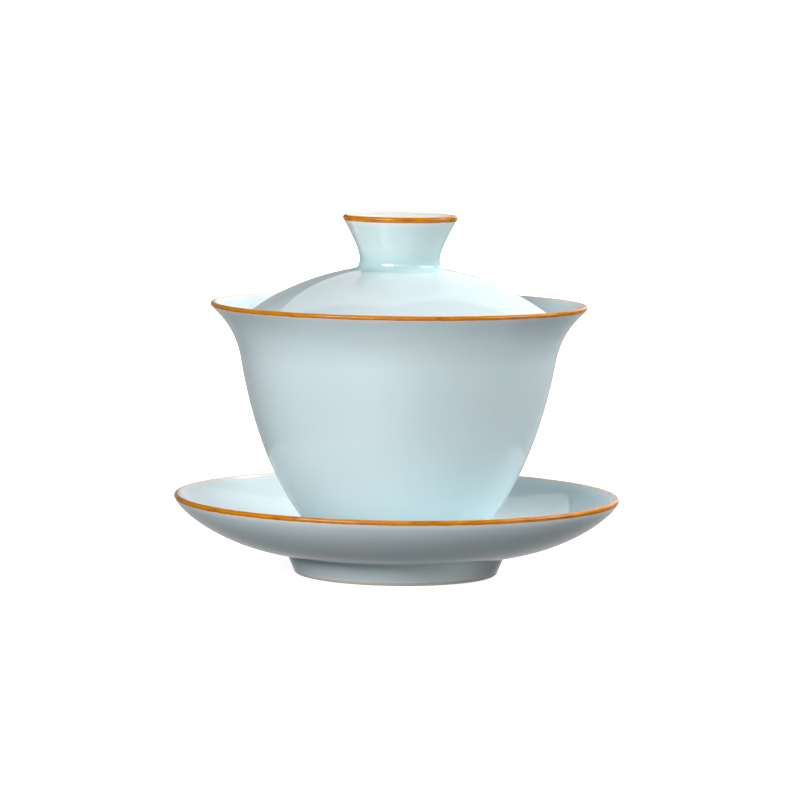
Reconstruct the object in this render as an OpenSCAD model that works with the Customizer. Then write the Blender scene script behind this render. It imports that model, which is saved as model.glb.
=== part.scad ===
// Gaiwan: a lidded tea bowl standing on a footed saucer, in glazed porcelain.
// Millimetres, +Z up. The origin is the centre of the saucer's foot, on the table.
// Every piece is turned about Z. An outline is a list of [radius, height] points.

/* [Saucer] */
// Diameter across the saucer's rim
saucer_d = 118.4; // [112:0.2:126]
// Height of the saucer's rim above the table
saucer_h = 21.1; // [19:0.1:24]
// Thickness of the saucer's rim
saucer_lip_t = 1.4; // [1.2:0.1:1.8]
// Thickness of the dish where it meets the foot
saucer_base_t = 3; // [2.6:0.1:3.4]
// Diameter of the foot where it stands on the table
saucer_foot_d = 53.6; // [50:0.2:56]
// Height of the foot, from the table to the underside of the dish
saucer_foot_h = 6; // [5:0.1:7]
// Diameter of the shallow well that the bowl stands in
well_d = 45.2; // [44.6:0.1:46.4]
// Height of the well's floor above the table
well_z = 8.2; // [8:0.1:8.6]

/* [Bowl] */
// Diameter across the bowl's lip
bowl_d = 100; // [98:0.2:102]
// Height of the bowl, from its foot to its lip
bowl_h = 63.9; // [62:0.1:66]
// Diameter of the neck, where the lip's flare starts
neck_d = 83.6; // [82:0.2:85]
// Depth of the neck below the lip
neck_drop = 15.3; // [14:0.1:17]
// Slope of the lip's flare, in degrees above level
flare = 49; // [46:1:52]
// Thickness of the lip
lip_t = 1.3; // [1.2:0.1:1.5]
// Thickness of the wall at the neck
neck_t = 1.8; // [1.6:0.1:2.1]
// Thickness of the wall near the foot
belly_t = 2.6; // [2.2:0.1:3]
// Thickness of the bowl's floor
floor_t = 3; // [2.4:0.1:3.6]
// Diameter of the bowl where it meets its foot
base_d = 45.8; // [45:0.2:47]
// Diameter of the bowl's foot where it stands in the well
bowl_foot_d = 42.6; // [41:0.2:43]
// Height of the bowl's foot
bowl_foot_h = 3.8; // [3:0.1:4.4]

/* [Lid] */
// Radius of the dome's outer surface
dome_r = 68.5; // [67:0.5:70]
// Height of the dome's crown above the table
crown_z = 82.2; // [82:0.1:82.8]
// Diameter of the lid's edge, which sits inside the lip's flare
lid_d = 86.6; // [86:0.1:86.8]
// Thickness of the dome at its crown
crown_t = 2.3; // [2.1:0.1:2.6]
// Thickness of the dome at its edge
edge_t = 1.7; // [1.5:0.1:1.8]

/* [Knob] */
// Diameter across the knob's flared rim
knob_d = 30.4; // [29:0.2:32]
// Height of the knob above the crown of the dome
knob_h = 13.2; // [12.4:0.1:14]
// Diameter of the knob's waist
waist_d = 21.3; // [20.6:0.1:22]
// Thickness of the knob's rim
knob_lip_t = 1.4; // [1.2:0.1:1.6]
// Thickness of the knob's wall at the waist
waist_t = 1.9; // [1.7:0.1:2.2]

/* [Glaze] */
// Height of the bare edge where a foot stands
bare_h = 0.9; // [0.6:0.1:1.2]

/* [Hidden] */

// Points along a long curve, points round a small one, and segments in a full turn
long_steps = 24;
short_steps = 8;
$fn = 180;

glaze = [0.80, 0.89, 0.92];
ochre = [0.76, 0.43, 0.06];
biscuit = [0.93, 0.88, 0.80];

// A step of a given length at an angle above level
function polar(length, angle) = length * [cos(angle), sin(angle)];

// Point and heading at t on the smooth curve through p[0] and p[3], pulled by p[1] and p[2]
function bend(p, t) = pow(1 - t, 3) * p[0] + 3 * pow(1 - t, 2) * t * p[1]
    + 3 * (1 - t) * pow(t, 2) * p[2] + pow(t, 3) * p[3];
function heading(p, t) = let (d = pow(1 - t, 2) * (p[1] - p[0])
    + 2 * (1 - t) * t * (p[2] - p[1]) + pow(t, 2) * (p[3] - p[2])) d / norm(d);

// A curve's points, and the inner face of a wall whose thickness runs from t0 to t1
function curve(p, steps) = [for (i = [0:steps]) bend(p, i / steps)];
function inner(p, t0, t1, steps, part = 1) = [for (i = [0:steps])
    let (t = part * i / steps, d = heading(p, t), thickness = t0 + (t1 - t0) * t)
    bend(p, t) + thickness * [d[1], -d[0]]];
function backwards(list) = [for (i = [len(list) - 1:-1:0]) list[i]];

// A rounded rim: its centre from its outermost radius and its top, the seams where it leaves
// the wall, and the half circle between them
function rim_centre(radius, top, t) = [radius - t / 2, top - t / 2];
function rim_seam(centre, t, slope) = centre + polar(t / 2, slope - 90);
function rim_bead(centre, t, slope) = [for (i = [0:2 * short_steps])
    centre + polar(t / 2, slope - 90 + 180 * i / (2 * short_steps))];

// Saucer: the underside runs from the rim's seam in to the foot
saucer_slope = 68;
saucer_rim = rim_centre(saucer_d / 2, saucer_h, saucer_lip_t);
saucer_seam = rim_seam(saucer_rim, saucer_lip_t, saucer_slope);
foot_top = [saucer_foot_d / 2 + 2.7, saucer_foot_h];
underside = [saucer_seam, saucer_seam - polar(4.8, saucer_slope), foot_top + polar(14.5, 2), foot_top];
foot_outer = saucer_foot_d / 2 + 0.4;
foot_inner = saucer_foot_d / 2 - 2.6;
foot_curve = [foot_top + [0.5, 0], foot_top + [-0.2, -0.1], foot_top + [-0.6, -1.3], [foot_outer, bare_h]];
well_step = 0.6;

// Bowl: a flare from the lip down to the neck, then the belly down to the foot
lip_z = well_z + bowl_h;
lip_rim = rim_centre(bowl_d / 2, lip_z, lip_t);
lip_seam = rim_seam(lip_rim, lip_t, flare);
neck = [neck_d / 2, lip_z - neck_drop];
neck_slope = 80.3;
base = [base_d / 2, well_z + bowl_foot_h];
base_slope = 45.6;
flare_curve = [lip_seam, lip_seam - polar(2.7, flare), neck + polar(8.8, neck_slope), neck];
belly_curve = [neck, neck - polar(16.6, neck_slope), base + polar(13.7, base_slope), base];
// The inside follows the belly this far before it rounds into the floor
belly_part = 0.8;
belly_end = inner(belly_curve, neck_t, belly_t, 1, belly_part)[1];
floor_z = base[1] + floor_t;
floor_curve = [belly_end, belly_end + 7 * heading(belly_curve, belly_part), [14, floor_z], [0, floor_z]];
bowl_foot_top = base_d / 2 - 0.6;
bowl_foot_wall = 3.2;
bowl_foot_edge_z = well_z + bare_h - 0.2;

// Lid: a spherical dome with a flat seat for the knob
dome_z = crown_z - dome_r;
dome_edge = asin((lid_d - edge_t) / 2 / (dome_r - edge_t / 2));
seat_r = waist_d / 2 + 2.15;
dome_seat = asin(seat_r / dome_r);
seat_z = dome_z + dome_r * cos(dome_seat);
function dome_t(angle) = crown_t + (edge_t - crown_t) * angle / dome_edge;
function dome_point(angle, depth) = [0, dome_z] + (dome_r - depth) * [sin(angle), cos(angle)];

// Knob: a flared cup, from its rim down to the waist and out on to the seat
knob_slope = 62;
knob_rim = rim_centre(knob_d / 2, crown_z + knob_h, knob_lip_t);
knob_seam = rim_seam(knob_rim, knob_lip_t, knob_slope);
waist = [waist_d / 2, seat_z + 2.7];
knob_flare = [knob_seam, knob_seam - polar(1.4, knob_slope), waist + [0, 3], waist];
knob_root = [waist, waist - [0, 2.3], [seat_r - 1.1, seat_z + 0.2], [seat_r, seat_z]];
cup_r = waist_d / 2 - waist_t;
cup_z = crown_z + 0.3;
cup_corner = [[cup_r, waist[1]], [cup_r, cup_z + 0.5], [cup_r - 0.5, cup_z], [cup_r - 2.3, cup_z]];

module turned(outline) {
    rotate_extrude() polygon(outline);
}

module saucer_dish() {
    inside = inner(underside, saucer_lip_t, saucer_base_t, long_steps);
    color(glaze) turned(concat(
        curve(underside, long_steps),
        [[0, saucer_foot_h], [0, well_z], [well_d / 2 - well_step, well_z]],
        [[well_d / 2, well_z + well_step]],
        backwards(inside)));
}

module saucer_rim_band() {
    color(ochre) turned(rim_bead(saucer_rim, saucer_lip_t, saucer_slope));
}

module saucer_foot_ring() {
    color(glaze) turned(concat(
        curve(foot_curve, short_steps),
        [[foot_inner, bare_h], [foot_inner - 0.8, saucer_foot_h]]));
}

module saucer_foot_edge() {
    color(biscuit) turned([
        [foot_outer, bare_h], [foot_outer - 0.2, 0.4], [foot_outer - 0.7, 0],
        [foot_inner + 0.7, 0], [foot_inner + 0.2, 0.4], [foot_inner, bare_h]]);
}

module bowl_wall() {
    color(glaze) turned(concat(
        curve(flare_curve, long_steps),
        curve(belly_curve, long_steps),
        [[0, base[1]]],
        backwards(curve(floor_curve, short_steps)),
        backwards(inner(belly_curve, neck_t, belly_t, long_steps, belly_part)),
        backwards(inner(flare_curve, lip_t, neck_t, long_steps))));
}

module bowl_rim_band() {
    color(ochre) turned(rim_bead(lip_rim, lip_t, flare));
}

module bowl_foot_ring() {
    color(glaze) turned([
        [bowl_foot_top, base[1]], [bowl_foot_d / 2 + 0.4, base[1] - 1.2],
        [bowl_foot_d / 2 + 0.1, bowl_foot_edge_z],
        [bowl_foot_d / 2 - bowl_foot_wall, bowl_foot_edge_z],
        [bowl_foot_d / 2 - bowl_foot_wall - 0.6, base[1]]]);
}

module bowl_foot_edge() {
    color(biscuit) turned([
        [bowl_foot_d / 2 + 0.1, bowl_foot_edge_z], [bowl_foot_d / 2 - 0.4, well_z],
        [bowl_foot_d / 2 - bowl_foot_wall + 0.5, well_z],
        [bowl_foot_d / 2 - bowl_foot_wall, bowl_foot_edge_z]]);
}

module lid_dome() {
    outside = [for (i = [0:long_steps])
        dome_point(dome_seat + (dome_edge - dome_seat) * i / long_steps, 0)];
    under = [for (i = [0:long_steps])
        let (angle = dome_edge * (1 - i / long_steps)) dome_point(angle, dome_t(angle))];
    color(glaze) turned(concat([[0, seat_z]], outside, under));
}

module lid_bare_edge() {
    middle = dome_point(dome_edge, edge_t / 2);
    color(biscuit) turned([for (i = [0:2 * short_steps])
        middle + polar(edge_t / 2, 90 - dome_edge - 180 * i / (2 * short_steps))]);
}

module lid_knob() {
    color(glaze) turned(concat(
        curve(knob_flare, long_steps),
        curve(knob_root, short_steps),
        [[0, seat_z], [0, cup_z]],
        backwards(curve(cup_corner, short_steps)),
        backwards(inner(knob_flare, knob_lip_t, waist_t, long_steps))));
}

module knob_rim_band() {
    color(ochre) turned(rim_bead(knob_rim, knob_lip_t, knob_slope));
}

saucer_dish();
saucer_rim_band();
saucer_foot_ring();
saucer_foot_edge();
bowl_wall();
bowl_rim_band();
bowl_foot_ring();
bowl_foot_edge();
lid_dome();
lid_bare_edge();
lid_knob();
knob_rim_band();
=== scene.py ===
import math
import bmesh
import bpy
from mathutils import Matrix, Vector
from mathutils.geometry import interpolate_bezier


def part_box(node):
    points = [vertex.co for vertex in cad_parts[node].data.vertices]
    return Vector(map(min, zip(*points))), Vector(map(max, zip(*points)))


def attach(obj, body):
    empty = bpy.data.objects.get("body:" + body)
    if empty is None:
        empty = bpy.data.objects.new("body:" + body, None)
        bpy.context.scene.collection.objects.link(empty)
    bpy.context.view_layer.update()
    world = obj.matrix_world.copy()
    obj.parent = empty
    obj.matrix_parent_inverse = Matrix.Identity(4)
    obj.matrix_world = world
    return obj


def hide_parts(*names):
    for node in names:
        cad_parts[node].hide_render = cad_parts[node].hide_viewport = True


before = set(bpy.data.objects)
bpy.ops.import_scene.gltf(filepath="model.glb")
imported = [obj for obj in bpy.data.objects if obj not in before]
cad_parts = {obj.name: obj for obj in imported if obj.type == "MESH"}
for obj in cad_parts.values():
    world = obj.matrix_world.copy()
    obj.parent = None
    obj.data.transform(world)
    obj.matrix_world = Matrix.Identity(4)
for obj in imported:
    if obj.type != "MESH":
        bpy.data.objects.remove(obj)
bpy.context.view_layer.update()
scene = bpy.context.scene
scene.view_settings.view_transform = "Standard"
print("frame loaded")

camera = {
    "place": (0.0, -1.0811, 0.1465),
    "down": 5.30,
    "right": 0.03,
    "roll": 0.78,
    "lens": 183.9,
}


def addCamera(spec):
    data = bpy.data.cameras.new("studioCamera")
    data.lens = spec["lens"]
    data.sensor_width = 36
    data.clip_end = 20
    lens = bpy.data.objects.new("studioCamera", data)
    turn = Matrix.Rotation(math.radians(-spec["right"]), 4, "Z")
    tilt = Matrix.Rotation(math.radians(90 - spec["down"]), 4, "X")
    roll = Matrix.Rotation(math.radians(spec["roll"]), 4, "Z")
    lens.matrix_world = Matrix.Translation(spec["place"]) @ turn @ tilt @ roll
    scene.collection.objects.link(lens)
    scene.camera = lens


addCamera(camera)
print("camera placed")


def spot(radius, height):
    # a point of an outline that is turned about the upright axis
    return Vector((radius, 0, height))


def lean(length, slope):
    angle = math.radians(slope)
    return Vector((length * math.cos(angle), 0, length * math.sin(angle)))


def bend(start, pullA, pullB, end, steps):
    return interpolate_bezier(start, pullA, pullB, end, steps + 1)


def arc(centre, radius, fromAngle, toAngle, steps):
    turn = (toAngle - fromAngle) / steps
    return [centre + lean(radius, fromAngle + turn * i) for i in range(steps + 1)]


def innerFace(run, startWall, endWall):
    # the same run moved in by the wall, which thickens from one end to the other
    points = []
    for i, point in enumerate(run):
        ahead = run[min(i + 1, len(run) - 1)] - run[max(i - 1, 0)]
        wall = startWall + (endWall - startWall) * i / (len(run) - 1)
        points.append(point + wall * Vector((ahead.z, 0, -ahead.x)).normalized())
    return points


def nodeSize(node):
    low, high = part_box(node)
    return {"radius": high[0], "bottom": low[2], "top": high[2]}


turnedSteps = 192
beadSteps = 24
sharpAngle = math.radians(32)


def turnPiece(name, outline, body, node, material, softened=0.0):
    mesh = bmesh.new()
    ring = [mesh.verts.new(point) for point in outline]
    edges = [mesh.edges.new(pair) for pair in zip(ring, ring[1:])]
    edges.append(mesh.edges.new((ring[-1], ring[0])))
    bmesh.ops.spin(mesh, geom=ring + edges, cent=(0, 0, 0), axis=(0, 0, 1),
                   angle=math.tau, steps=turnedSteps, use_merge=True)
    bmesh.ops.remove_doubles(mesh, verts=mesh.verts[:], dist=1e-6)
    bmesh.ops.recalc_face_normals(mesh, faces=mesh.faces[:])
    if softened:
        corners = [edge for edge in mesh.edges
                   if edge.is_manifold and edge.calc_face_angle() > sharpAngle]
        bmesh.ops.bevel(mesh, geom=corners, offset=softened, offset_type="OFFSET", segments=3,
                        profile=0.5, affect="EDGES", clamp_overlap=True, material=-1)
    data = bpy.data.meshes.new(name)
    mesh.to_mesh(data)
    mesh.free()
    data.shade_smooth()
    data.set_sharp_from_angle(angle=sharpAngle)
    data.materials.append(material)
    piece = bpy.data.objects.new(name, data)
    scene.collection.objects.link(piece)
    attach(piece, body)
    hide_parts(node)
    return piece


def newGroup(name, inputs, outputs):
    group = bpy.data.node_groups.new(name, "ShaderNodeTree")
    for label, kind, value in inputs:
        socket = group.interface.new_socket(name=label, in_out="INPUT", socket_type=kind)
        socket.default_value = value
    for label, kind in outputs:
        group.interface.new_socket(name=label, in_out="OUTPUT", socket_type=kind)
    entry = group.nodes.new("NodeGroupInput")
    leave = group.nodes.new("NodeGroupOutput")
    return group, entry, leave


def feed(tree, socket, value):
    if hasattr(value, "is_linked"):
        tree.links.new(value, socket)
    else:
        socket.default_value = value


def calc(tree, operation, first, second=0.0, third=0.0):
    node = tree.nodes.new("ShaderNodeMath")
    node.operation = operation
    for socket, value in zip(node.inputs, (first, second, third)):
        feed(tree, socket, value)
    return node.outputs[0]


def fade(tree, value, start, end, low=0.0, high=1.0):
    node = tree.nodes.new("ShaderNodeMapRange")
    node.interpolation_type = "SMOOTHSTEP"
    for label, number in (("Value", value), ("From Min", start), ("From Max", end),
                          ("To Min", low), ("To Max", high)):
        feed(tree, node.inputs[label], number)
    return node.outputs["Result"]


def noise(tree, place, scale, detail=2.0, rough=0.5):
    node = tree.nodes.new("ShaderNodeTexNoise")
    feed(tree, node.inputs["Vector"], place)
    feed(tree, node.inputs["Scale"], scale)
    node.inputs["Detail"].default_value = detail
    node.inputs["Roughness"].default_value = rough
    return node.outputs["Fac"]


def blendColor(tree, amount, first, second):
    node = tree.nodes.new("ShaderNodeMix")
    node.data_type = "RGBA"
    for index, value in ((0, amount), (6, first), (7, second)):
        feed(tree, node.inputs[index], value)
    return node.outputs[2]


def objectPlace(tree):
    return tree.nodes.new("ShaderNodeTexCoord").outputs["Object"]


def ringPlace(tree):
    # distance from the axis, height, and angle round the axis
    parts = tree.nodes.new("ShaderNodeSeparateXYZ")
    tree.links.new(objectPlace(tree), parts.inputs[0])
    across, along, height = parts.outputs
    squared = calc(tree, "ADD", calc(tree, "MULTIPLY", across, across),
                   calc(tree, "MULTIPLY", along, along))
    return calc(tree, "SQRT", squared), height, calc(tree, "ARCTAN2", along, across)


def makeRingMask():
    # one as far as its solid part from a ring on the surface, then nothing past its reach
    group, entry, leave = newGroup("ringMask", [
        ("Ring Radius", "NodeSocketFloat", 0.05), ("Ring Height", "NodeSocketFloat", 0.07),
        ("Solid", "NodeSocketFloat", 0.0), ("Reach", "NodeSocketFloat", 0.003),
        ("Ragged", "NodeSocketFloat", 0.0005)],
        [("Mask", "NodeSocketFloat")])
    radius, height, _ = ringPlace(group)
    outward = calc(group, "SUBTRACT", radius, entry.outputs["Ring Radius"])
    upward = calc(group, "SUBTRACT", height, entry.outputs["Ring Height"])
    away = calc(group, "SQRT", calc(group, "ADD", calc(group, "MULTIPLY", outward, outward),
                                    calc(group, "MULTIPLY", upward, upward)))
    drift = calc(group, "SUBTRACT", noise(group, objectPlace(group), 260.0, 3.0), 0.5)
    away = calc(group, "MULTIPLY_ADD", drift, entry.outputs["Ragged"], away)
    mask = fade(group, away, entry.outputs["Solid"], entry.outputs["Reach"], 1.0, 0.0)
    group.links.new(mask, leave.inputs["Mask"])
    return group


def makeDipMask():
    # one on the outside of a lip above the line that its brown glaze was dipped to
    group, entry, leave = newGroup("dipMask", [
        ("Crest", "NodeSocketFloat", 0.05), ("Dip Line", "NodeSocketFloat", 0.07)],
        [("Mask", "NodeSocketFloat")])
    radius, height, _ = ringPlace(group)
    outward = calc(group, "SUBTRACT", radius, entry.outputs["Crest"])
    above = calc(group, "SUBTRACT", height, entry.outputs["Dip Line"])
    drift = calc(group, "SUBTRACT", noise(group, objectPlace(group), 330.0, 3.0), 0.5)
    above = calc(group, "MULTIPLY_ADD", drift, 0.0003, above)
    mask = calc(group, "MULTIPLY", fade(group, outward, 0.0, 0.0001), fade(group, above, 0.0, 0.0001))
    group.links.new(mask, leave.inputs["Mask"])
    return group


def makeGlazeDepth():
    # pale where the glaze runs thin at a rim, deeper where it pools, with slow drifts between
    group, entry, leave = newGroup("glazeDepth", [
        ("Thin Color", "NodeSocketColor", (0.9, 0.9, 0.9, 1)),
        ("Body Color", "NodeSocketColor", (0.7, 0.8, 0.9, 1)),
        ("Pool Color", "NodeSocketColor", (0.5, 0.8, 0.8, 1)),
        ("Speck Color", "NodeSocketColor", (0.3, 0.25, 0.2, 1)),
        ("Thin", "NodeSocketFloat", 0.0), ("Pool", "NodeSocketFloat", 0.0),
        ("Drift", "NodeSocketFloat", 0.25), ("Specks", "NodeSocketFloat", 0.3)],
        [("Color", "NodeSocketColor"), ("Roughness", "NodeSocketFloat")])
    place = objectPlace(group)
    slow = noise(group, place, 38.0, 3.0)
    cloud = calc(group, "MULTIPLY", fade(group, slow, 0.35, 0.7), entry.outputs["Drift"])
    deep = calc(group, "MAXIMUM", entry.outputs["Pool"], cloud)
    tone = blendColor(group, deep, entry.outputs["Body Color"], entry.outputs["Pool Color"])
    tone = blendColor(group, entry.outputs["Thin"], tone, entry.outputs["Thin Color"])
    cells = group.nodes.new("ShaderNodeTexVoronoi")
    cells.inputs["Scale"].default_value = 420.0
    group.links.new(place, cells.inputs["Vector"])
    chosen = calc(group, "GREATER_THAN", cells.outputs["Color"], 0.965)
    dots = calc(group, "MULTIPLY", fade(group, cells.outputs["Distance"], 0.03, 0.09, 1.0, 0.0), chosen)
    dots = calc(group, "MULTIPLY", dots, entry.outputs["Specks"])
    tone = blendColor(group, dots, tone, entry.outputs["Speck Color"])
    group.links.new(tone, leave.inputs["Color"])
    sheen = fade(group, noise(group, place, 90.0, 4.0), 0.3, 0.7, 0.03, 0.055)
    group.links.new(sheen, leave.inputs["Roughness"])
    return group


def makeThrownSurface():
    # faint level rings left by turning, under the soft peel of a fired glaze
    group, entry, leave = newGroup("thrownSurface", [
        ("Rings", "NodeSocketFloat", 1.0), ("Peel", "NodeSocketFloat", 1.0)],
        [("Height", "NodeSocketFloat")])
    place = objectPlace(group)
    radius, height, _ = ringPlace(group)
    run = calc(group, "MULTIPLY_ADD", radius, 0.7, height)
    wobble = calc(group, "MULTIPLY", noise(group, place, 30.0, 1.0), 2.2)
    wave = calc(group, "SINE", calc(group, "MULTIPLY_ADD", run, 820.0, wobble))
    rings = calc(group, "MULTIPLY", wave, entry.outputs["Rings"])
    peel = calc(group, "MULTIPLY", noise(group, place, 520.0, 2.0), entry.outputs["Peel"])
    total = calc(group, "ADD", calc(group, "MULTIPLY", rings, 0.35), peel)
    group.links.new(total, leave.inputs["Height"])
    return group


def makeOchreStreaks():
    # brown rim glaze brushed round the rim in streaks, pale inside the crest, partly glaze wiped thin there
    # and partly a painted highlight of glare along the rim
    group, entry, leave = newGroup("ochreStreaks", [
        ("Dark", "NodeSocketColor", (0.25, 0.08, 0.01, 1)),
        ("Body", "NodeSocketColor", (0.55, 0.22, 0.01, 1)),
        ("Light", "NodeSocketColor", (0.75, 0.35, 0.05, 1)),
        ("Wiped", "NodeSocketColor", (0.8, 0.7, 0.6, 1)), ("Crest", "NodeSocketFloat", 0.05),
        ("Rim Radius", "NodeSocketFloat", 0.05), ("Top", "NodeSocketFloat", 0.07),
        ("Band", "NodeSocketFloat", 0.001)],
        [("Color", "NodeSocketColor"), ("Roughness", "NodeSocketFloat"),
         ("Height", "NodeSocketFloat")])
    radius, height, angle = ringPlace(group)
    lengthwise = calc(group, "MULTIPLY", angle, entry.outputs["Rim Radius"])
    spread = group.nodes.new("ShaderNodeCombineXYZ")
    feed(group, spread.inputs[0], calc(group, "MULTIPLY", lengthwise, 0.16))
    feed(group, spread.inputs[1], height)
    feed(group, spread.inputs[2], radius)
    streak = noise(group, spread.outputs[0], 1500.0, 4.0, 0.6)
    patch = noise(group, objectPlace(group), 210.0, 3.0)
    mixed = calc(group, "ADD", calc(group, "MULTIPLY", streak, 0.65), calc(group, "MULTIPLY", patch, 0.35))
    tone = blendColor(group, fade(group, mixed, 0.32, 0.54), entry.outputs["Dark"], entry.outputs["Body"])
    tone = blendColor(group, fade(group, mixed, 0.54, 0.72), tone, entry.outputs["Light"])
    # painted darker towards the lower edge of the band
    below = calc(group, "DIVIDE", calc(group, "SUBTRACT", entry.outputs["Top"], height),
                 entry.outputs["Band"])
    edge = calc(group, "MULTIPLY", fade(group, below, 0.62, 1.0), 0.55)
    tone = blendColor(group, edge, tone, entry.outputs["Dark"])
    # the pale crest: partly thin glaze, partly a painted highlight
    inward = calc(group, "SUBTRACT", entry.outputs["Crest"], radius)
    inward = calc(group, "MULTIPLY_ADD", calc(group, "SUBTRACT", mixed, 0.5), 0.0004, inward)
    tone = blendColor(group, fade(group, inward, 0.00012, 0.00032), tone, entry.outputs["Wiped"])
    group.links.new(tone, leave.inputs["Color"])
    group.links.new(fade(group, streak, 0.3, 0.7, 0.12, 0.22), leave.inputs["Roughness"])
    group.links.new(mixed, leave.inputs["Height"])
    return group


def makeBiscuitGrain():
    # bare fired clay: a fine tooth, toasted next to the glaze, and grey where it rubs
    group, entry, leave = newGroup("biscuitGrain", [
        ("Clay", "NodeSocketColor", (0.8, 0.75, 0.68, 1)),
        ("Toast", "NodeSocketColor", (0.6, 0.4, 0.25, 1)),
        ("Rub", "NodeSocketColor", (0.5, 0.48, 0.45, 1)),
        ("Toasted", "NodeSocketFloat", 0.0)],
        [("Color", "NodeSocketColor"), ("Roughness", "NodeSocketFloat"),
         ("Height", "NodeSocketFloat")])
    place = objectPlace(group)
    fine = noise(group, place, 2600.0, 3.0, 0.6)
    broad = noise(group, place, 160.0, 3.0)
    tone = blendColor(group, calc(group, "MULTIPLY", fade(group, broad, 0.5, 0.75), 0.35),
                      entry.outputs["Clay"], entry.outputs["Rub"])
    tone = blendColor(group, entry.outputs["Toasted"], tone, entry.outputs["Toast"])
    group.links.new(tone, leave.inputs["Color"])
    group.links.new(fade(group, fine, 0.2, 0.8, 0.55, 0.8), leave.inputs["Roughness"])
    group.links.new(fine, leave.inputs["Height"])
    return group


ringMask = makeRingMask()
dipMask = makeDipMask()
glazeDepth = makeGlazeDepth()
thrownSurface = makeThrownSurface()
ochreStreaks = makeOchreStreaks()
biscuitGrain = makeBiscuitGrain()
print("shader groups built")


def useGroup(tree, group, **values):
    node = tree.nodes.new("ShaderNodeGroup")
    node.node_tree = group
    for label, value in values.items():
        words = "".join(" " + c if c.isupper() else c for c in label).strip()
        feed(tree, node.inputs[words[0].upper() + words[1:]], value)
    return node


def addBump(tree, shader, height, depth, strength):
    bump = tree.nodes.new("ShaderNodeBump")
    bump.inputs["Distance"].default_value = depth
    bump.inputs["Strength"].default_value = strength
    tree.links.new(height, bump.inputs["Height"])
    tree.links.new(bump.outputs["Normal"], shader.inputs["Normal"])


def newMaterial(name):
    material = bpy.data.materials.new(name)
    material.use_nodes = True
    return material, material.node_tree, material.node_tree.nodes["Principled BSDF"]


ochre = {
    "dark": (0.42, 0.13, 0.001, 1),
    "body": (0.68, 0.22, 0.001, 1),
    "light": (0.84, 0.33, 0.004, 1),
    # pale crest colour: partly thin glaze, partly a painted highlight
    "wiped": (0.80, 0.71, 0.62, 1),
    "ior": 1.42,
}


def lipOf(size, crest, dip):
    # where a lip's brown glaze lies: its crest's radius, and the line that it was dipped to
    return {"radius": size["radius"], "top": size["top"], "crest": crest, "dipLine": size["bottom"] - dip}


def addStreaks(tree, lip):
    return useGroup(tree, ochreStreaks, dark=ochre["dark"], body=ochre["body"], light=ochre["light"],
                    wiped=ochre["wiped"], crest=lip["crest"], rimRadius=lip["radius"], top=lip["top"],
                    band=lip["top"] - lip["dipLine"])


def ochreGlaze(name, lip):
    material, tree, shader = newMaterial(name)
    streaks = addStreaks(tree, lip)
    tree.links.new(streaks.outputs["Color"], shader.inputs["Base Color"])
    tree.links.new(streaks.outputs["Roughness"], shader.inputs["Roughness"])
    addBump(tree, shader, streaks.outputs["Height"], 0.00006, 0.5)
    shader.inputs["IOR"].default_value = ochre["ior"]
    return material


celadon = {
    "thin": (0.80, 0.80, 0.80, 1),
    "body": (0.665, 0.775, 0.805, 1),
    "pool": (0.52, 0.72, 0.735, 1),
    "speck": (0.30, 0.25, 0.18, 1),
    "specks": 0.15,
    "drift": 0.18,
    "rings": 1.0,
    "peel": 0.6,
    "ior": 1.6,
    "glow": 0.12,
    "glowDepth": 0.0015,
}


def celadonGlaze(name, rim=None, pool=None, lip=None):
    # rim and pool are rings: radius, height, how far the effect is full, and where it ends
    material, tree, shader = newMaterial(name)
    if lip:
        band = lip["top"] - lip["dipLine"]
        rim = (lip["radius"], lip["top"], band + 0.0002, band + 0.0018)
    masks = []
    for ring, ragged in ((rim, 0.0004), (pool, 0.0015)):
        mask = 0.0
        if ring:
            mask = useGroup(tree, ringMask, ringRadius=ring[0], ringHeight=ring[1], solid=ring[2],
                            reach=ring[3], ragged=ragged).outputs["Mask"]
        masks.append(mask)
    depth = useGroup(tree, glazeDepth, thinColor=celadon["thin"], bodyColor=celadon["body"],
                     poolColor=celadon["pool"], speckColor=celadon["speck"], thin=masks[0],
                     pool=masks[1], drift=celadon["drift"], specks=celadon["specks"])
    tone = depth.outputs["Color"]
    if lip:
        dipped = useGroup(tree, dipMask, crest=lip["crest"], dipLine=lip["dipLine"]).outputs["Mask"]
        tone = blendColor(tree, dipped, tone, addStreaks(tree, lip).outputs["Color"])
    tree.links.new(tone, shader.inputs["Base Color"])
    tree.links.new(depth.outputs["Roughness"], shader.inputs["Roughness"])
    surface = useGroup(tree, thrownSurface, rings=celadon["rings"], peel=celadon["peel"])
    addBump(tree, shader, surface.outputs["Height"], 0.00002, 0.6)
    shader.inputs["IOR"].default_value = celadon["ior"]
    shader.inputs["Subsurface Weight"].default_value = celadon["glow"]
    shader.inputs["Subsurface Radius"].default_value = (1.0, 1.0, 1.0)
    shader.inputs["Subsurface Scale"].default_value = celadon["glowDepth"]
    return material


biscuit = {
    "clay": (0.74, 0.73, 0.70, 1),
    "toast": (0.58, 0.56, 0.52, 1),
    "rub": (0.56, 0.53, 0.49, 1),
}


def bareBiscuit(name, glazeLine):
    material, tree, shader = newMaterial(name)
    mask = useGroup(tree, ringMask, ringRadius=glazeLine[0], ringHeight=glazeLine[1], solid=0.0,
                    reach=glazeLine[2], ragged=0.0004)
    grain = useGroup(tree, biscuitGrain, clay=biscuit["clay"], toast=biscuit["toast"], rub=biscuit["rub"],
                  toasted=mask.outputs["Mask"])
    tree.links.new(grain.outputs["Color"], shader.inputs["Base Color"])
    tree.links.new(grain.outputs["Roughness"], shader.inputs["Roughness"])
    addBump(tree, shader, grain.outputs["Height"], 0.00005, 0.8)
    return material


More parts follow.
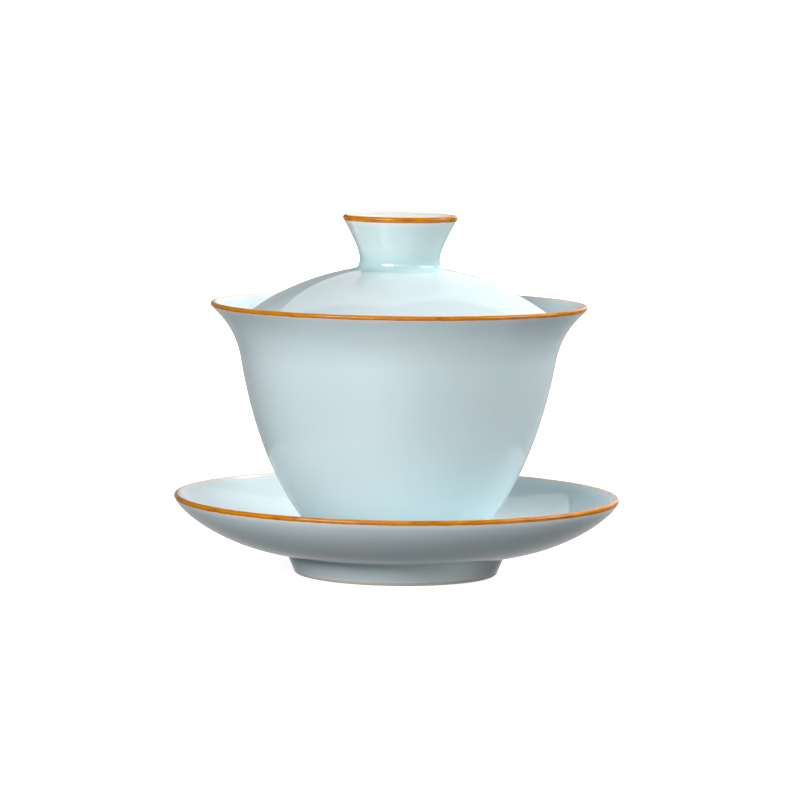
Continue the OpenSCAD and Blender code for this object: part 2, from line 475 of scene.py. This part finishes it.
saucerLip = nodeSize("saucer_rim_band")
saucerFootSize = nodeSize("saucer_foot_ring")
saucerStand = nodeSize("saucer_foot_edge")
saucer = {
    "lipWall": 0.0014,
    "dip": 0.0003,
    "lipSlope": 68,
    "lipPull": 0.0048,
    "footPull": 0.0145,
    "footSlope": 2,
    "baseWall": 0.003,
    "footSpread": 0.0005,
    "wellRadius": 0.0226,
    "wellFloor": nodeSize("bowl_foot_edge")["bottom"],
    "wellStep": 0.0012,
    "wellPool": 0.004,
    "footWall": 0.003,
    "footTopPull": (0.0007, 0.0001),
    "footSidePull": (0.0011, 0.0013),
    "footTaper": 0.0008,
    "footPool": 0.003,
    "edgeRound": 0.0007,
    "edgeRise": 0.0004,
    "softened": 0.00012,
    "bareToast": 0.0009,
}
thinRim = (0.0002, 0.0009)  # above a bare foot: how far the glaze is fully thin, and where that ends


def saucerRunUnder(spec):
    centre = spot(saucerLip["radius"] - spec["lipWall"] / 2, saucerLip["top"] - spec["lipWall"] / 2)
    seam = centre + lean(spec["lipWall"] / 2, spec["lipSlope"] - 90)
    foot = spot(saucerFootSize["radius"] - spec["footSpread"], saucerFootSize["top"])
    return centre, bend(seam, seam - lean(spec["lipPull"], spec["lipSlope"]),
                        foot + lean(spec["footPull"], spec["footSlope"]), foot, 48)


def buildSaucer(spec):
    centre, under = saucerRunUnder(spec)
    inside = innerFace(under, spec["lipWall"], spec["baseWall"])
    top = spot(saucerFootSize["radius"], saucerFootSize["top"])
    floor = spec["wellFloor"]
    edge = spec["wellRadius"]
    step = spec["wellStep"]
    well = bend(spot(edge + step, inside[-1].z), spot(edge + step / 3, inside[-1].z),
                spot(edge + step / 6, floor), spot(edge - step * 2 / 3, floor), 10)
    dish = under + [spot(0, top.z), spot(0, floor)] + well[::-1] + inside[::-1]
    lip = lipOf(saucerLip, centre.x, spec["dip"])
    turnPiece("saucerDish", dish, "saucer", "saucer_dish",
              celadonGlaze("saucerCeladon", lip=lip, pool=(edge, floor, 0.0, spec["wellPool"])))
    bead = arc(centre, spec["lipWall"] / 2, spec["lipSlope"] - 90, spec["lipSlope"] + 90, beadSteps)
    turnPiece("saucerRimBand", bead, "saucer", "saucer_rim_band",
              ochreGlaze("saucerOchre", lip))
    outer = spot(saucerStand["radius"], saucerStand["top"])
    inner = outer - spot(spec["footWall"], 0)
    side = bend(top, top - spot(*spec["footTopPull"]), top - spot(*spec["footSidePull"]), outer, 20)
    ring = side + [inner, spot(inner.x - spec["footTaper"], top.z)]
    turnPiece("saucerFootRing", ring, "saucer", "saucer_foot_ring",
              celadonGlaze("saucerFootCeladon", rim=(outer.x, outer.z, *thinRim),
                           pool=(top.x, top.z, 0.0, spec["footPool"])))
    rise = spec["edgeRise"]
    rounded = spec["edgeRound"]
    stand = [outer, spot(outer.x - rise / 2, rise), spot(outer.x - rounded, 0),
             spot(inner.x + rounded, 0), spot(inner.x + rise / 2, rise), inner]
    turnPiece("saucerFootEdge", stand, "saucer", "saucer_foot_edge",
              bareBiscuit("saucerBiscuit", (outer.x, outer.z, spec["bareToast"])),
              softened=spec["softened"])


buildSaucer(saucer)
print("saucer built")

bowlLip = nodeSize("bowl_rim_band")
bowlWallSize = nodeSize("bowl_wall")
bowlFootSize = nodeSize("bowl_foot_ring")
bowlStand = nodeSize("bowl_foot_edge")
bowl = {
    "lipWall": 0.0013,
    "dip": 0.0001,
    "flare": 49,
    "flarePull": 0.0027,
    "neckRadius": 0.0418,
    "neckDrop": 0.0153,
    "neckSlope": 80.3,
    "neckRise": 0.0088,
    "neckFall": 0.0166,
    "neckWall": 0.0018,
    "bellyWall": 0.0026,
    "baseRadius": 0.0229,
    "baseSlope": 45.6,
    "basePull": 0.0137,
    "bellyPart": 0.8,
    "floorWall": 0.003,
    "floorCurve": 0.014,
    "floorPull": 0.007,
    "glazePool": 0.014,
    "footWall": 0.0032,
    "footTopPull": (0.0003, -0.0002),
    "footSidePull": (0.0001, -0.0012),
    "footTaper": 0.0006,
    "footPool": 0.003,
    "edgeRound": 0.0005,
    "softened": 0.0001,
    "bareToast": 0.0007,
}


def buildBowl(spec):
    centre = spot(bowlLip["radius"] - spec["lipWall"] / 2, bowlLip["top"] - spec["lipWall"] / 2)
    seam = centre + lean(spec["lipWall"] / 2, spec["flare"] - 90)
    neck = spot(spec["neckRadius"], bowlLip["top"] - spec["neckDrop"])
    base = spot(spec["baseRadius"], bowlWallSize["bottom"])
    flare = bend(seam, seam - lean(spec["flarePull"], spec["flare"]),
                 neck + lean(spec["neckRise"], spec["neckSlope"]), neck, 40)
    belly = bend(neck, neck - lean(spec["neckFall"], spec["neckSlope"]),
                 base + lean(spec["basePull"], spec["baseSlope"]), base, 50)
    kept = belly[:int(len(belly) * spec["bellyPart"])]
    keptWall = spec["neckWall"] + (spec["bellyWall"] - spec["neckWall"]) * spec["bellyPart"]
    insideFlare = innerFace(flare, spec["lipWall"], spec["neckWall"])
    insideBelly = innerFace(kept, spec["neckWall"], keptWall)
    onward = (insideBelly[-1] - insideBelly[-2]).normalized() * spec["floorPull"]
    floor = base.z + spec["floorWall"]
    bottom = bend(insideBelly[-1], insideBelly[-1] + onward, spot(spec["floorCurve"], floor),
                  spot(0, floor), 20)
    inside = insideFlare + insideBelly[1:] + bottom[1:]
    wall = flare + belly[1:] + [spot(0, base.z)] + inside[::-1]
    lip = lipOf(bowlLip, centre.x, spec["dip"])
    turnPiece("bowlWall", wall, "bowl", "bowl_wall",
              celadonGlaze("bowlCeladon", lip=lip, pool=(base.x, base.z, 0.0, spec["glazePool"])))
    bead = arc(centre, spec["lipWall"] / 2, spec["flare"] - 90, spec["flare"] + 90, beadSteps)
    turnPiece("bowlRimBand", bead, "bowl", "bowl_rim_band",
              ochreGlaze("bowlOchre", lip))
    outer = spot(bowlStand["radius"], bowlStand["top"])
    inner = outer - spot(spec["footWall"], 0)
    root = spot(outer.x, base.z)
    side = bend(spot(bowlFootSize["radius"], base.z), root + spot(*spec["footTopPull"]),
                root + spot(*spec["footSidePull"]), outer, 16)
    ring = side + [inner, spot(inner.x - spec["footTaper"], base.z)]
    turnPiece("bowlFootRing", ring, "bowl", "bowl_foot_ring",
              celadonGlaze("bowlFootCeladon", rim=(outer.x, outer.z, *thinRim),
                           pool=(outer.x, base.z, 0.0, spec["footPool"])))
    rounded = spec["edgeRound"]
    stand = [outer, spot(outer.x - rounded, bowlStand["bottom"]),
             spot(inner.x + rounded, bowlStand["bottom"]), inner]
    turnPiece("bowlFootEdge", stand, "bowl", "bowl_foot_edge",
              bareBiscuit("bowlBiscuit", (outer.x, outer.z, spec["bareToast"])),
              softened=spec["softened"])


buildBowl(bowl)
print("bowl built")

knobLip = nodeSize("knob_rim_band")
knobSize = nodeSize("lid_knob")
lidEdge = nodeSize("lid_bare_edge")
lid = {
    "domeRadius": 0.0685,
    "crown": 0.0822,
    "crownWall": 0.0023,
    "edgeWall": 0.0017,
    "seatRadius": 0.0128,
    "knobWall": 0.0014,
    "knobDip": 0.0005,
    "knobSlope": 62,
    "knobPull": 0.0014,
    "waistRadius": 0.01065,
    "waistRise": 0.0027,
    "waistWall": 0.0019,
    "waistPullUp": 0.003,
    "waistPullDown": 0.0023,
    "seatPull": (-0.0011, 0.0002),
    "cupRise": 0.0015,
    "cupRound": 0.0023,
    "cupPull": 0.0005,
    "rimFade": (0.0004, 0.002),
    "poolInset": 0.001,
    "poolLift": 0.0015,
    "poolFade": (0.001, 0.0046),
    "bareToast": 0.0006,
}


def buildLid(spec):
    middle = spot(0, spec["crown"] - spec["domeRadius"])
    edgeTurn = math.degrees(math.asin((lidEdge["radius"] - spec["edgeWall"] / 2)
                                      / (spec["domeRadius"] - spec["edgeWall"] / 2)))
    seatTurn = math.degrees(math.asin(spec["seatRadius"] / spec["domeRadius"]))
    outside = arc(middle, spec["domeRadius"], 90 - seatTurn, 90 - edgeTurn, 48)
    steps = 60
    under = []
    for i in range(steps + 1):
        turn = edgeTurn * (1 - i / steps)
        wall = spec["crownWall"] + (spec["edgeWall"] - spec["crownWall"]) * turn / edgeTurn
        under.append(middle + lean(spec["domeRadius"] - wall, 90 - turn))
    seatHeight = outside[0].z
    # the pool's ring hangs above the seat, so that it stays clear of the underside
    pool = (spec["seatRadius"] - spec["poolInset"], seatHeight + spec["poolLift"], *spec["poolFade"])
    turnPiece("lidDome", [spot(0, seatHeight)] + outside + under, "lid", "lid_dome",
              celadonGlaze("lidCeladon", pool=pool,
                           rim=(lidEdge["radius"], lidEdge["top"], *spec["rimFade"])))
    tip = middle + lean(spec["domeRadius"] - spec["edgeWall"] / 2, 90 - edgeTurn)
    rounded = arc(tip, spec["edgeWall"] / 2, 90 - edgeTurn, -90 - edgeTurn, beadSteps)
    turnPiece("lidBareEdge", rounded, "lid", "lid_bare_edge",
              bareBiscuit("lidBiscuit", (lidEdge["radius"], lidEdge["top"], spec["bareToast"])))

    centre = spot(knobLip["radius"] - spec["knobWall"] / 2, knobLip["top"] - spec["knobWall"] / 2)
    seam = centre + lean(spec["knobWall"] / 2, spec["knobSlope"] - 90)
    waist = spot(spec["waistRadius"], seatHeight + spec["waistRise"])
    seat = spot(spec["seatRadius"], seatHeight)
    flare = bend(seam, seam - lean(spec["knobPull"], spec["knobSlope"]),
                 waist + spot(0, spec["waistPullUp"]), waist, 30)
    root = bend(waist, waist - spot(0, spec["waistPullDown"]), seat + spot(*spec["seatPull"]), seat, 20)
    cup = spec["waistRadius"] - spec["waistWall"]
    cupFloor = seatHeight + spec["cupRise"]
    pull = spec["cupPull"]
    corner = bend(spot(cup, waist.z), spot(cup, cupFloor + pull), spot(cup - pull, cupFloor),
                  spot(cup - spec["cupRound"], cupFloor), 12)
    inside = innerFace(flare, spec["knobWall"], spec["waistWall"])
    knob = flare + root[1:] + [spot(0, seatHeight), spot(0, cupFloor)] + corner[::-1] + inside[-2::-1]
    lip = lipOf(knobLip, centre.x, spec["knobDip"])
    turnPiece("lidKnob", knob, "lid", "lid_knob",
              celadonGlaze("knobCeladon", lip=lip, pool=pool))
    bead = arc(centre, spec["knobWall"] / 2, spec["knobSlope"] - 90, spec["knobSlope"] + 90, beadSteps)
    turnPiece("knobRimBand", bead, "lid", "knob_rim_band",
              ochreGlaze("knobOchre", lip))


buildLid(lid)
print("lid built")

studio = {
    "floorColor": (0.88, 0.89, 0.90, 1),
    "near": (0.75, 0.75, 0.75, 1),
    "far": (1.1, 1.1, 1.1, 1),
    "nearRadius": 0.3,
    "farRadius": 1.6,
    "roughness": 0.7,
    "reach": 5.0,
    "sweep": 1.5,
    "wallTop": 4.0,
}


def buildStudio(spec):
    # a round floor that curves up into a wall on every side; the paper glows of itself, less near the
    # middle so that the lamps' contact shadow shows, more far out so that the backdrop stays white
    mesh = bmesh.new()
    corner = spot(spec["reach"] - spec["sweep"], spec["sweep"])
    line = [spot(0, 0)] + arc(corner, spec["sweep"], -90, 0, 16) + [spot(spec["reach"], spec["wallTop"])]
    verts = [mesh.verts.new(point) for point in line]
    edges = [mesh.edges.new(pair) for pair in zip(verts, verts[1:])]
    bmesh.ops.spin(mesh, geom=verts + edges, cent=(0, 0, 0), axis=(0, 0, 1),
                   angle=math.tau, steps=96, use_merge=True)
    bmesh.ops.remove_doubles(mesh, verts=mesh.verts[:], dist=1e-5)
    bmesh.ops.recalc_face_normals(mesh, faces=mesh.faces[:])
    data = bpy.data.meshes.new("studioFloor")
    mesh.to_mesh(data)
    mesh.free()
    data.shade_smooth()
    material, tree, shader = newMaterial("studioGlowingPaper")
    shader.inputs["Base Color"].default_value = spec["floorColor"]
    shader.inputs["Roughness"].default_value = spec["roughness"]
    # painted light: the paper's own glow, rising from near to far
    apart = tree.nodes.new("ShaderNodeVectorMath")
    apart.operation = "LENGTH"
    feed(tree, apart.inputs[0], objectPlace(tree))
    away = fade(tree, apart.outputs["Value"], spec["nearRadius"], spec["farRadius"])
    feed(tree, shader.inputs["Emission Color"], blendColor(tree, away, spec["near"], spec["far"]))
    shader.inputs["Emission Strength"].default_value = 1.0
    data.materials.append(material)
    floor = bpy.data.objects.new("studioFloor", data)
    floor.visible_diffuse = False
    floor.visible_glossy = False
    scene.collection.objects.link(floor)


def heading(around, up):
    # round from the front towards the right, and up from level
    turn = math.radians(around)
    rise = math.radians(up)
    return Vector((math.sin(turn) * math.cos(rise), -math.cos(turn) * math.cos(rise), math.sin(rise)))


def buildSky(glows, base):
    # soft glows on a dim room, each strongest along its own heading
    world = bpy.data.worlds.new("studioSky")
    world.use_nodes = True
    scene.world = world
    tree = world.node_tree
    outward = tree.nodes.new("ShaderNodeTexCoord").outputs["Generated"]
    total = base
    for spec in glows.values():
        dot = tree.nodes.new("ShaderNodeVectorMath")
        dot.operation = "DOT_PRODUCT"
        tree.links.new(outward, dot.inputs[0])
        dot.inputs[1].default_value = heading(spec["around"], spec["up"])
        toward = calc(tree, "MAXIMUM", dot.outputs["Value"], 0.0)
        total = calc(tree, "MULTIPLY_ADD", calc(tree, "POWER", toward, spec["focus"]), spec["shine"], total)
    feed(tree, tree.nodes["Background"].inputs["Strength"], total)
    tree.nodes["Background"].inputs["Color"].default_value = (1, 1, 1, 1)


glows = {
    "behind": {"around": 180, "up": -12, "focus": 8, "shine": 0.55},
    "table": {"around": 15, "up": -55, "focus": 12, "shine": 0.4},
    "front": {"around": -20, "up": -24, "focus": 12, "shine": 0.92},
    "right": {"around": 88, "up": -50, "focus": 10, "shine": 1.0},
}
softboxes = {
    "leftPanel": {"around": -35, "up": 21, "size": (0.9, 0.45), "roll": 0, "shine": 15, "mirrored": True},
    "frontPanel": {"around": 0, "up": 20, "size": (0.8, 0.45), "roll": 0, "shine": 2.2, "mirrored": True},
    "rightPanel": {"around": 88, "up": 31, "size": (1.2, 0.6), "roll": 0, "shine": 5.2, "mirrored": True},
    "edgePanel": {"around": 114, "up": 32, "size": (1.0, 0.6), "roll": 0, "shine": 7, "mirrored": False},
    "rimPanel": {"around": 142, "up": 30, "size": (0.9, 0.45), "roll": 0, "shine": 9, "mirrored": False},
    "backPanel": {"around": 173, "up": 32, "size": (1.8, 1.0), "roll": 51, "shine": 0.8, "mirrored": True},
}
lightAway = 1.5
lightAim = Vector((0, 0, 0.04))
dimRoom = 0.03


def addSoftbox(name, spec):
    width, height = spec["size"]
    data = bpy.data.lights.new(name, "AREA")
    data.shape = "RECTANGLE"
    data.size = width
    data.size_y = height
    data.energy = spec["shine"] * math.pi * width * height
    lamp = bpy.data.objects.new(name, data)
    toward = heading(spec["around"], spec["up"])
    lamp.location = lightAim + lightAway * toward
    lamp.rotation_euler = (toward.to_track_quat("Z", "Y").to_matrix()
                           @ Matrix.Rotation(math.radians(spec["roll"]), 3, "Z")).to_euler()
    lamp.visible_glossy = spec["mirrored"]
    scene.collection.objects.link(lamp)


buildStudio(studio)
buildSky(glows, dimRoom)
for name, spec in softboxes.items():
    addSoftbox(name, spec)
print("studio lit")
